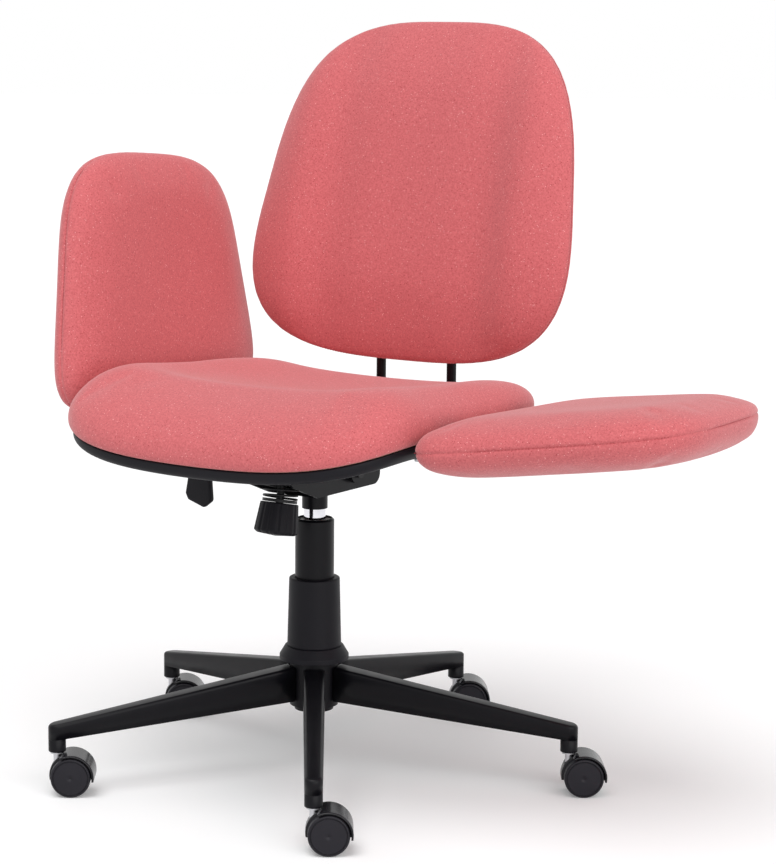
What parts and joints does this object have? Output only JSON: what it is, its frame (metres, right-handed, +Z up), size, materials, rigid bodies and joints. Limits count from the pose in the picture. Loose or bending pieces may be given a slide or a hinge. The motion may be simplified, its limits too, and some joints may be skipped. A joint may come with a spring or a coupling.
{
  "type": "swivel chair",
  "caption": "Upholstered swivel chair with a round backrest, a gas lift, castered legs and fold-down side wings beside the seat",
  "frame": {"origin": "on the floor, on the axis of the column", "axes": "+Z up, the front of the seat faces -Y, +X to the left of a sitter"},
  "size_m": [0.9103, 0.6816, 0.96],
  "materials": {
    "upholstery": "fine flecked weave",
    "painted_steel": "satin powder coat",
    "black_plastic": "fine grained",
    "caster_plastic": "glossy",
    "pins": "turned and zinc plated",
    "chrome_tube": "polished",
    "spring_steel": "black oxide",
    "boards": "plywood",
    "bush_plastic": "moulded",
    "pad_rubber": "plain"
  },
  "bodies": {
    "base": {"base_hub": "painted_steel", "hub_collar": "black_plastic", "base_leg_1": "painted_steel", "base_leg_2": "painted_steel", "base_leg_3": "painted_steel", "base_leg_4": "painted_steel", "base_leg_5": "painted_steel", "caster_stems": "pins", "column_tube": "painted_steel", "column_cover": "black_plastic", "guide_bush": "bush_plastic", "thrust_bearing": "pins"},
    "swivel": {"piston_rod": "pins"},
    "lift": {"gas_cylinder": "chrome_tube", "tilt_housing": "painted_steel", "axle_bushes": "bush_plastic", "stop_pads": "pad_rubber", "tension_spring": "spring_steel"},
    "lever": {"lever_rod": "painted_steel", "lever_grip": "black_plastic"},
    "button": {"release_button": "bush_plastic"},
    "seat": {"seat_plate": "painted_steel", "tilt_axle": "pins", "tension_bolt": "pins", "plate_bolts": "pins", "seat_shell": "black_plastic", "seat_board": "boards", "seat_cushion": "upholstery", "back_bracket": "painted_steel", "back_bar_left": "painted_steel", "back_bar_right": "painted_steel", "bar_saddles": "pins", "back_board": "boards", "back_cover": "upholstery", "back_cushion": "upholstery", "hinge_arms_left": "painted_steel", "hinge_arms_right": "painted_steel"},
    "washer": {"spring_washer": "pins"},
    "knob": {"tension_knob": "black_plastic"},
    "wing_left": {"hinge_leaves_left": "painted_steel", "wing_board_left": "boards", "wing_pad_left": "upholstery"},
    "wing_right": {"hinge_leaves_right": "painted_steel", "wing_board_right": "boards", "wing_pad_right": "upholstery"},
    "caster_1": {"caster_hood_1": "caster_plastic", "wheel_axle_1": "pins"},
    "wheels_1": {"caster_wheels_1": "caster_plastic"},
    "caster_2": {"caster_hood_2": "caster_plastic", "wheel_axle_2": "pins"},
    "wheels_2": {"caster_wheels_2": "caster_plastic"},
    "caster_3": {"caster_hood_3": "caster_plastic", "wheel_axle_3": "pins"},
    "wheels_3": {"caster_wheels_3": "caster_plastic"},
    "caster_4": {"caster_hood_4": "caster_plastic", "wheel_axle_4": "pins"},
    "wheels_4": {"caster_wheels_4": "caster_plastic"},
    "caster_5": {"caster_hood_5": "caster_plastic", "wheel_axle_5": "pins"},
    "wheels_5": {"caster_wheels_5": "caster_plastic"}
  },
  "joints": [
    {"name": "caster_swivel_1", "type": "hinge", "parent": "base", "child": "caster_1", "pos_m": [0.19358, -0.27646, 0.05], "axis": [0, 0, 1], "continuous": true},
    {"name": "wheel_roll_1", "type": "hinge", "parent": "caster_1", "child": "wheels_1", "pos_m": [0.20833, -0.26614, 0.025], "axis": [-0.5736, 0.8192, 0], "continuous": true},
    {"name": "caster_swivel_2", "type": "hinge", "parent": "base", "child": "caster_2", "pos_m": [0.32275, 0.09867, 0.05], "axis": [0, 0, 1], "continuous": true},
    {"name": "wheel_roll_2", "type": "hinge", "parent": "caster_2", "child": "wheels_2", "pos_m": [0.3375, 0.109, 0.025], "axis": [-0.5736, 0.8192, 0], "continuous": true},
    {"name": "caster_swivel_3", "type": "hinge", "parent": "base", "child": "caster_3", "pos_m": [0.00589, 0.33745, 0.05], "axis": [0, 0, 1], "continuous": true},
    {"name": "wheel_roll_3", "type": "hinge", "parent": "caster_3", "child": "wheels_3", "pos_m": [0.02064, 0.34777, 0.025], "axis": [-0.5736, 0.8192, 0], "continuous": true},
    {"name": "caster_swivel_4", "type": "hinge", "parent": "base", "child": "caster_4", "pos_m": [-0.31911, 0.10988, 0.05], "axis": [0, 0, 1], "continuous": true},
    {"name": "wheel_roll_4", "type": "hinge", "parent": "caster_4", "child": "wheels_4", "pos_m": [-0.30437, 0.1202, 0.025], "axis": [-0.5736, 0.8192, 0], "continuous": true},
    {"name": "caster_swivel_5", "type": "hinge", "parent": "base", "child": "caster_5", "pos_m": [-0.20311, -0.26954, 0.05], "axis": [0, 0, 1], "continuous": true},
    {"name": "wheel_roll_5", "type": "hinge", "parent": "caster_5", "child": "wheels_5", "pos_m": [-0.18837, -0.25921, 0.025], "axis": [-0.5736, 0.8192, 0], "continuous": true},
    {"name": "chair_swivel", "type": "hinge", "parent": "base", "child": "swivel", "pos_m": [0, 0, 0.1], "axis": [0, 0, 1], "continuous": true},
    {"name": "lift_slide", "type": "slide", "parent": "swivel", "child": "lift", "axis": [0, 0, 1], "range_m": [0, 0.1]},
    {"name": "lever_lift", "type": "hinge", "parent": "lift", "child": "lever", "pos_m": [-0.0325, 0, 0.412], "axis": [0, 1, 0], "range_deg": [0, 5.5], "stiffness_Nm_per_rad": 0.4, "springref_deg": -34.38},
    {"name": "button_press", "type": "slide", "parent": "lift", "child": "button", "axis": [0, 0, -1], "range_m": [0, 0.0032]},
    {"name": "seat_tilt", "type": "hinge", "parent": "lift", "child": "seat", "pos_m": [0, 0.03, 0.393], "axis": [-1, 0, 0], "range_deg": [0, 8], "stiffness_Nm_per_rad": 120, "springref_deg": -11.46, "deforming": ["tension_spring"]},
    {"name": "washer_slide", "type": "slide", "parent": "seat", "child": "washer", "axis": [0, 0.2079, 0.9781], "range_m": [-0.0015, 0.003], "deforming": ["tension_spring"]},
    {"name": "knob_turn", "type": "hinge", "parent": "washer", "child": "knob", "pos_m": [0, -0.077, 0.364], "axis": [0, 0.2079, 0.9781], "range_deg": [-360, 720]},
    {"name": "wing_left_fold", "type": "hinge", "parent": "seat", "child": "wing_left", "pos_m": [0.255, 0, 0.472], "axis": [0, -1, 0], "range_deg": [0, 77]},
    {"name": "wing_right_fold", "type": "hinge", "parent": "seat", "child": "wing_right", "pos_m": [-0.255, 0, 0.472], "axis": [0, -1, 0], "range_deg": [0, 77]}
  ],
  "couplings": [
    {"joint": "button_press", "follows": "lever_lift", "m_per_rad": 0.0325},
    {"joint": "knob_turn", "follows": "washer_slide", "rad_per_m": 4188.7}
  ]
}
